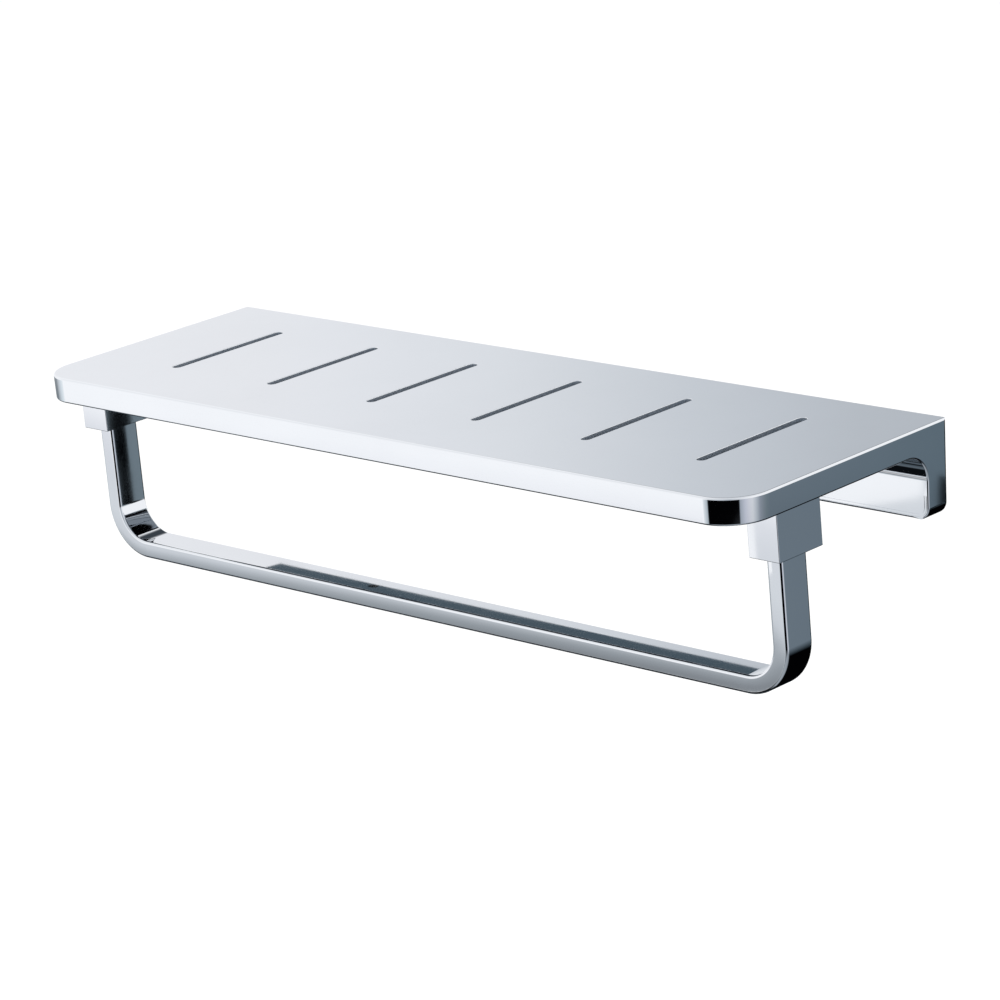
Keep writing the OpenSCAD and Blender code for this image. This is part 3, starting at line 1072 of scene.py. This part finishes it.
class RACK_OT_screws(bpy.types.Operator):
    """Build the cap screws, the bar's set screws and the shelf's lock screws"""

    bl_idname = "rack.screws"
    bl_label = "Screws"

    def execute(self, context):
        sizes = context.scene.hardware_sizes
        tree = screw_tree()
        cap_length = CAP_SCREW_HIGH.z - CAP_SCREW_LOW.z
        cap_radius = (CAP_SCREW_HIGH.x - CAP_SCREW_LOW.x) / 2
        set_length = SET_SCREW_HIGH.y - SET_SCREW_LOW.y
        set_z = (SET_SCREW_LOW.z + SET_SCREW_HIGH.z) / 2
        lock_length = LOCK_SCREW_HIGH.z - LOCK_SCREW_LOW.z
        lock_y = (LOCK_SCREW_LOW.y + LOCK_SCREW_HIGH.y) / 2
        # Each kind's piece, node, socket's face, direction, and values in SCREW_SIZES' order.
        kinds = (
            (
                "m4_cap_screw", "post_screw", (POST_X, POST_Y, CAP_SCREW_LOW.z), AXIS["Z"],
                (
                    2 * MM, sizes.m4_pitch, cap_length, cap_radius, sizes.cap_head_height,
                    sizes.cap_socket, 2 * MM, 1.3 * MM,
                ),
            ),
            (
                "m4_set_screw", "bar_lock_screw", (POST_X, SET_SCREW_HIGH.y, set_z), -AXIS["Y"],
                (
                    2 * MM, sizes.m4_pitch, set_length, 1.7 * MM, 0.3 * MM,
                    sizes.set_socket, 1.8 * MM, 1 * MM,
                ),
            ),
            (
                "m5_lock_screw", "shelf_lock_screw", (BRACKET_X, lock_y, LOCK_SCREW_LOW.z),
                AXIS["Z"],
                (
                    2.5 * MM, sizes.m5_pitch, lock_length, 2.2 * MM, 0.3 * MM,
                    sizes.lock_socket, 2.5 * MM, 1.75 * MM,
                ),
            ),
        )
        for name, side in SIDES.items():
            for kind, node, (x, y, z), direction, numbers in kinds:
                values = dict(zip(SCREW_SIZES, numbers))
                values.update({"Steps": 24, "Material": finish_of("black_steel")})
                body = grown(tree, values)
                turn = AXIS["Z"].rotation_difference(direction).to_matrix().to_4x4()
                body.data.transform(Matrix.Translation((side * x, y, z)) @ turn)
                finish_piece(body, f"{name}_{kind}", "black_steel", [f"{name}_{node}"])
        return {"FINISHED"}


class RACK_OT_washers(bpy.types.Operator):
    """Build the split lock washers under the cap screws"""

    bl_idname = "rack.washers"
    bl_label = "Washers"

    def execute(self, context):
        sizes = context.scene.hardware_sizes
        outer = (WASHER_HIGH.x - WASHER_LOW.x) / 2
        # Half the width of the split, how far it runs askew, and how far out it is cut.
        split, skew, reach = 0.3 * MM, 0.2 * MM, 6 * MM
        for name, side in SIDES.items():
            x = side * POST_X
            place = Vector((x, POST_Y, 0))
            washer = rod(outer, place, "Z", WASHER_LOW.z, WASHER_HIGH.z)
            gap = [(x - split, POST_Y), (x + split, POST_Y)]
            gap += [(x + split + skew, POST_Y + reach), (x - split + skew, POST_Y + reach)]
            start, end = WASHER_LOW.z - PAST, WASHER_HIGH.z + PAST
            cutters = [rod(sizes.washer_bore, place, "Z", start, end)]
            cutters.append(prism(gap, "Z", start, end))
            washer = carve(washer, cutters)
            washer = round_edges(washer, lambda middle: sizes.washer_rounding, segments=2)
            finish_piece(washer, f"{name}_split_washer", "zinc_steel", [f"{name}_post_washer"])
        return {"FINISHED"}


class RACK_OT_dowels(bpy.types.Operator):
    """Build the two dowels of each post"""

    bl_idname = "rack.dowels"
    bl_label = "Dowels"

    def execute(self, context):
        low, high = DOWEL_LOW.z, DOWEL_HIGH.z
        chamfer = 0.3 * MM
        profile = [(0, low), (DOWEL_RADIUS - chamfer, low), (DOWEL_RADIUS, low + chamfer)]
        profile += [(DOWEL_RADIUS, high - chamfer), (DOWEL_RADIUS - chamfer, high), (0, high)]
        for name, side in SIDES.items():
            pair = bmesh.new()
            for end in DOWEL_ENDS:
                dowel = turned(profile, Vector((side * POST_X, end, 0)))
                pair.from_mesh(dowel.data)
                bpy.data.objects.remove(dowel)
            dowels = link_mesh(mesh_of(pair, "dowels"), "dowels")
            finish_piece(dowels, f"{name}_dowel_pair", "zinc_steel", [f"{name}_post_dowels"])
        return {"FINISHED"}


class RACK_OT_brackets(bpy.types.Operator):
    """Build the dovetail wall brackets with their countersunk holes"""

    bl_idname = "rack.brackets"
    bl_label = "Wall brackets"

    def execute(self, context):
        sizes = context.scene.hardware_sizes
        thickness = -BRACKET_LOW.y
        half = (BRACKET_HIGH.x - BRACKET_LOW.x) / 2
        wall_z = BRACKET_HIGH.z - sizes.bracket_slope
        section = [(0, -wall_z), (0, wall_z)]
        section += [(-thickness, BRACKET_HIGH.z), (-thickness, BRACKET_LOW.z)]
        hole_radius = HOLES["dims"]["hole_r_mm"] * MM
        spacing = HOLES["dims"]["spacing_x_mm"] * MM
        sink = sizes.countersink - hole_radius
        for name, side in SIDES.items():
            body = prism(section, "X", side * BRACKET_X - half, side * BRACKET_X + half)
            profile = [(0, -PAST), (hole_radius, -PAST), (hole_radius, thickness - sink)]
            profile += [(sizes.countersink + PAST, thickness + PAST), (0, thickness + PAST)]
            holes = []
            for end in (-1, 1):
                hole = turned(profile, Vector((0, 0, 0)))
                turn = Matrix.Rotation(math.pi / 2, 4, "X")
                place = Matrix.Translation((side * BRACKET_X + end * spacing / 2, 0, 0))
                hole.data.transform(place @ turn)
                holes.append(hole)

            def radius_at(middle):
                at_ends = abs(abs(middle.x - side * BRACKET_X) - half) < ON
                on_slope = abs(middle.z) > wall_z - sizes.bracket_rounding
                return sizes.bracket_rounding if at_ends or on_slope else sizes.hole_rounding

            seams = [side * BRACKET_X + end * spacing / 2 for end in (-1, 1)]
            body = round_edges(carve(body, holes, seams), radius_at, segments=3)
            finish_piece(body, f"{name}_dovetail_bracket", "cast_zinc", [f"{name}_wall_bracket"])
        return {"FINISHED"}


class RACK_OT_pads(bpy.types.Operator):
    """Build the two foam pads between the flange and the wall"""

    bl_idname = "rack.pads"
    bl_label = "Wall pads"

    def execute(self, context):
        rounding = context.scene.hardware_sizes.pad_rounding
        radius = (PAD_HIGH.x - PAD_LOW.x) / 2
        for name, side in SIDES.items():
            profile = [(0, PAD_LOW.y), (radius, PAD_LOW.y), (radius, -rounding)]
            rim = arc((radius - rounding, -rounding), rounding, 0, 90, 4)
            profile += rim[1:] + [(0, 0)]
            turn = Matrix.Rotation(-math.pi / 2, 4, "X")
            pad = turned(profile, Vector((0, 0, 0)))
            pad.data.transform(Matrix.Translation((side * PAD_X, 0, 0)) @ turn)
            finish_piece(pad, f"{name}_foam_pad", "soft_pad", [f"{name}_wall_pad"])
        return {"FINISHED"}


# ---------------------------------------------------------------- studio

# What the tent's wall shows, as (degrees from +X towards +Y, colour): under the rack,
# just below its level, above its level, and over 20 degrees up.
# The table under the rack is dark at the back and left, paler at the front and right.
UNDER_RING = [
    (-180, "#2E363C"), (-172, "#4A545C"), (-160, "#5A646C"), (-155, "#0A0D10"),
    (-124, "#0A0D10"), (-100, "#9AA1A8"), (0, "#8A9198"), (30, "#2C3338"),
    (44, "#020203"), (110, "#020203"), (165, "#0A0D10"),
]
LOW_RING = [
    (-180, "#8B9298"), (-172, "#ACB3B9"), (-162, "#C6CFD6"), (-152, "#DBE4E9"),
    (-142, "#F2F4F6"), (-130, "#F8F9FB"), (-120, "#C4CCD2"), (-113.5, "#A8B1B8"),
    (-112, "#020203"), (-34, "#020203"), (-32.5, "#98A0AA"), (-20, "#BDC1CD"),
    (-10, "#CED0D8"), (-1.5, "#D2D5DA"), (8.7, "#B3BAC2"), (18.7, "#8A929D"),
    (28.8, "#7B858E"), (38.8, "#6D7A82"), (49, "#67737D"), (54, "#566670"),
    (60, "#0A0D10"), (124, "#0A0D10"), (130, "#4C5A63"), (145, "#525F68"), (165, "#7A8288"),
]
HIGH_RING = [
    (-180, "#F4F5F7"), (-120, "#F4F5F7"), (-105, "#C8CDD2"), (-60, "#A3AAB2"),
    (-20, "#E6E8EC"), (0, "#F4F5F7"),
    (110, "#F4F5F7"), (122, "#B0B5BC"), (129, "#B2B7BD"), (130.4, "#BCC1C7"),
    (131.5, "#C0C5CB"), (133, "#CBCFD4"), (135, "#D7DADE"), (137.3, "#DFE1E5"),
    (139, "#E3E4E7"), (142, "#E6E7EA"), (160, "#F0F1F3"),
]
# A dark card hangs at the back.
HANGING_RING = [
    (-180, "#F4F5F7"), (-110, "#DDE0E4"), (-60, "#B8BEC6"), (0, "#F4F5F7"),
    (112, "#F4F5F7"), (118, "#3A4046"), (136, "#3A4046"), (144, "#F4F5F7"),
]
# The degrees above the level between which one ring gives way to the next.
RINGS = [(-30, -20, LOW_RING), (-14.5, -11, HIGH_RING), (19.5, 23, HANGING_RING)]
ROOF_START, ROOF_END = 44, 52
ROOF = [(40, "#F4F5F7"), (70, "#D8DBE0"), (90, "#C8CCD2")]

FLOOR_Z = -0.9
FLOOR_REACH = 30.0
TENT_RADIUS = 20.0
# Chrome returns about four fifths of the light, so the tent is that much brighter.
TENT_STRENGTH = 1.22


class RACK_OT_studio(bpy.types.Operator):
    """Build the floor, the light tent, the lamps and the camera"""

    bl_idname = "rack.studio"
    bl_label = "Studio"

    def execute(self, context):
        build_floor(context.scene.rack_colours.floor)
        build_tent()
        build_cards()
        build_lamps()
        build_camera()
        return {"FINISHED"}


def flat_card(name, corners, material):
    """A flat four-cornered card or floor in the studio."""
    bm = bmesh.new()
    bm.faces.new([bm.verts.new(c) for c in corners])
    mesh = bpy.data.meshes.new(name)
    bm.to_mesh(mesh)
    bm.free()
    card = link_mesh(mesh, name)
    mesh.materials.append(material)
    return card


def only_mirrored(thing):
    """Lets a tent or card be seen in the chrome and nowhere else."""
    thing.visible_camera = False
    thing.visible_diffuse = False
    thing.visible_shadow = False


def build_floor(colour):
    """A wide pale floor of smooth matt board, well below the rack."""
    material, tree, place = new_material("matt_white_board")
    mottle = add_node(
        tree, "ShaderNodeTexNoise", None, {"Vector": place, "Scale": 1 / 0.3, "Detail": 2}
    )
    tint = add_node(
        tree,
        "ShaderNodeMix",
        {"data_type": "RGBA"},
        {"Factor": mottle, "A": linear(colour), "B": linear(darker(colour, 0.01))},
    )
    board = add_node(
        tree, "ShaderNodeBsdfPrincipled", None, {"Base Color": tint, "Roughness": 0.8}
    )
    add_node(tree, "ShaderNodeOutputMaterial", None, {"Surface": board})
    reach = FLOOR_REACH
    corners = [(-reach, -reach), (reach, -reach), (reach, reach), (-reach, reach)]
    floor = flat_card("studio_floor", [(x, y, FLOOR_Z) for x, y in corners], material)
    floor.visible_glossy = False


def build_tent():
    """A round light tent. Its wall is white, with black and grey cards painted on it
    as soft bands, so that the chrome has something to mirror."""
    material, tree, place = new_material("light_tent_cloth")
    unit = add_node(tree, "ShaderNodeVectorMath", {"operation": "NORMALIZE"}, {0: place})
    x, y, z = add_node(tree, "ShaderNodeSeparateXYZ", None, {0: unit}).outputs
    turn = add_node(tree, MATH, {"operation": "ARCTAN2"}, {0: y, 1: x})
    whole_turn = add_node(tree, MATH, OVER, {0: turn, 1: 2 * math.pi})
    round_share = add_node(tree, MATH, ADD, {0: whole_turn, 1: 0.5})
    rise = add_node(tree, MATH, {"operation": "ARCSINE"}, {0: z})
    quarters = add_node(tree, MATH, OVER, {0: rise, 1: math.pi / 2})
    up_share = add_node(tree, MATH, TIMES_PLUS, {0: quarters, 1: 0.5, 2: 0.5})
    layers = [(start, end, round_share, 360, ring) for start, end, ring in RINGS]
    layers.append((ROOF_START, ROOF_END, up_share, 180, ROOF))
    wall = add_node(
        tree,
        "ShaderNodeValToRGB",
        None,
        {"Fac": round_share},
        [(angle / 360 + 0.5, colour) for angle, colour in UNDER_RING],
    )
    for start, end, share, full, stops in layers:
        painted = add_node(
            tree,
            "ShaderNodeValToRGB",
            None,
            {"Fac": share},
            [(angle / full + 0.5, colour) for angle, colour in stops],
        )
        reached = add_node(
            tree,
            "ShaderNodeValToRGB",
            None,
            {"Fac": up_share},
            [(start / 180 + 0.5, "#000000"), (end / 180 + 0.5, "#FFFFFF")],
        )
        wall = add_node(
            tree,
            "ShaderNodeMix",
            {"data_type": "RGBA"},
            {"Factor": reached, "A": wall, "B": painted},
        )
    glow = add_node(
        tree, "ShaderNodeEmission", None, {"Color": wall, "Strength": TENT_STRENGTH}
    )
    add_node(tree, "ShaderNodeOutputMaterial", None, {"Surface": glow})
    bm = bmesh.new()
    bmesh.ops.create_icosphere(bm, subdivisions=4, radius=TENT_RADIUS)
    tent = link_mesh(mesh_of(bm, "light_tent"), "light_tent")
    tent.data.materials.append(material)
    only_mirrored(tent)


def glowing_card(name, corners, stops, direction=(0, 0, 1)):
    """A card whose light changes along a direction, as (metres, colour) stops."""
    material, tree, place = new_material(f"{name}_paper")
    along = add_node(
        tree, "ShaderNodeVectorMath", {"operation": "DOT_PRODUCT"}, {0: place, 1: direction}
    )
    low, high = stops[0][0], stops[-1][0]
    share = add_node(tree, "ShaderNodeMapRange", None, {0: along, 1: low, 2: high, 3: 0.0, 4: 1.0})
    paint = add_node(
        tree,
        "ShaderNodeValToRGB",
        None,
        {"Fac": share},
        [((at - low) / (high - low), colour) for at, colour in stops],
    )
    glow = add_node(
        tree, "ShaderNodeEmission", None, {"Color": paint, "Strength": TENT_STRENGTH}
    )
    add_node(tree, "ShaderNodeOutputMaterial", None, {"Surface": glow})
    only_mirrored(flat_card(name, corners, material))


# Where the cards at the front left face, in degrees from +X towards +Y.
FRONT_CARD_ANGLE = 222


def front_corners(away, left, right, low, high):
    """The corners of a card that stands at the front left and faces the rack."""
    middle = math.radians(FRONT_CARD_ANGLE)
    out = Vector((math.cos(middle), math.sin(middle), 0)) * away
    along = Vector((-math.sin(middle), math.cos(middle), 0))
    return [
        out + along * a + AXIS["Z"] * z
        for a, z in ((left, low), (right, low), (right, high), (left, high))
    ]


def build_cards():
    """The card at the front left that lights the front edges and the legs and gets
    greyer towards its lower edge, a white patch on it for the flange, and a narrow
    black card behind the rack, which the left leg's inner side mirrors."""
    low, high = -0.303, -0.262
    patch = front_corners(0.79, 0.195, 0.2955, low, high)
    glowing_card("flange_card", patch, [(low, "#F6F7F9"), (high, "#F6F7F9")])
    glowing_card(
        "front_card",
        front_corners(0.8, -0.12, 0.37, -0.40, -0.10),
        [
            (-0.31, "#84898E"), (-0.29, "#969CA1"), (-0.28, "#A6ABB0"), (-0.272, "#B6BBC0"),
            (-0.262, "#CBCFD4"), (-0.245, "#D4D8DC"), (-0.215, "#D6D9DE"),
            (-0.195, "#DFE1E6"), (-0.18, "#F2F3F6"), (-0.16, "#F8F9FB"),
        ],
        direction=(0.174, -0.193, 1),
    )
    left, right, behind, low, high = 0.583, 0.615, 0.545, -0.40, -0.255
    corners = [(left, behind, low), (right, behind, low)]
    corners += [(right, behind, high), (left, behind, high)]
    glowing_card("gap_card", corners, [(low, "#020203"), (high, "#020203")])


SOFTBOX_WIDTH = 1.2


def build_lamps():
    """Soft light for the floor and the matt pieces: a white surround and two lamps."""
    scene = bpy.context.scene
    world = bpy.data.worlds.new("white_surround")
    scene.world = world
    world.use_nodes = True
    background = world.node_tree.nodes["Background"]
    background.inputs["Color"].default_value = (1, 1, 1, 1)
    background.inputs["Strength"].default_value = 1.05
    for name, place, power in (
        ("overhead_softbox", (-0.6, -0.8, 1.8), 18),
        ("side_softbox", (1.4, -0.6, 0.9), 6),
    ):
        lamp = bpy.data.lights.new(name, "AREA")
        lamp.energy = power
        lamp.size = SOFTBOX_WIDTH
        holder = bpy.data.objects.new(name, lamp)
        scene.collection.objects.link(holder)
        holder.location = place
        aim = Vector((0, -0.06, 0)) - Vector(place)
        holder.rotation_euler = aim.to_track_quat("-Z", "Y").to_euler()
        holder.visible_glossy = False
        holder.visible_camera = False


def build_camera():
    """A long lens at the front right, a little above the rack and slightly tilted."""
    place = Vector((1.13498, -1.17689, 0.45349))
    around, above, tilt = (math.radians(a) for a in (45.163, 16.808, -5.220))
    back = Vector(
        (math.sin(around) * math.cos(above), -math.cos(around) * math.cos(above), math.sin(above))
    )
    right = Vector((math.cos(around), math.sin(around), 0))
    up = back.cross(right)
    tilted_right = right * math.cos(tilt) + up * math.sin(tilt)
    tilted_up = up * math.cos(tilt) - right * math.sin(tilt)
    data = bpy.data.cameras.new("camera")
    data.sensor_width = 36
    data.lens = 144.46
    camera = bpy.data.objects.new("camera", data)
    bpy.context.scene.collection.objects.link(camera)
    turn = Matrix((tilted_right, tilted_up, back)).transposed().to_4x4()
    camera.matrix_world = Matrix.Translation(place) @ turn
    scene = bpy.context.scene
    scene.camera = camera
    scene.view_settings.view_transform = "Standard"


# ---------------------------------------------------------------- sidebar and main

OPERATORS = (
    RACK_OT_studio,
    RACK_OT_shelf,
    RACK_OT_posts,
    RACK_OT_towel_bar,
    RACK_OT_screws,
    RACK_OT_washers,
    RACK_OT_dowels,
    RACK_OT_brackets,
    RACK_OT_pads,
)
GROUPS = {
    "shelf_sizes": ShelfSizes,
    "bar_sizes": BarSizes,
    "hardware_sizes": HardwareSizes,
    "rack_colours": RackColours,
}


class RACK_PT_pieces(bpy.types.Panel):
    """The rack's sizes, colours and pieces"""

    bl_idname = "RACK_PT_pieces"
    bl_label = "Towel Rack"
    bl_space_type = "VIEW_3D"
    bl_region_type = "UI"
    bl_category = "Towel Rack"

    def draw(self, context):
        for group_name, group in GROUPS.items():
            box = self.layout.box()
            for name in group.__annotations__:
                box.prop(getattr(context.scene, group_name), name)
        for operator in OPERATORS:
            self.layout.operator(operator.bl_idname)


CLASSES = (*GROUPS.values(), *OPERATORS, RACK_PT_pieces)


def register():
    for cls in CLASSES:
        bpy.utils.register_class(cls)
    for name, group in GROUPS.items():
        setattr(bpy.types.Scene, name, bpy.props.PointerProperty(type=group))


def unregister():
    for name in GROUPS:
        delattr(bpy.types.Scene, name)
    for cls in reversed(CLASSES):
        bpy.utils.unregister_class(cls)


def main():
    """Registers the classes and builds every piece."""
    register()
    for operator in OPERATORS:
        group, name = operator.bl_idname.split(".")
        getattr(getattr(bpy.ops, group), name)()


if __name__ == "__main__":
    main()
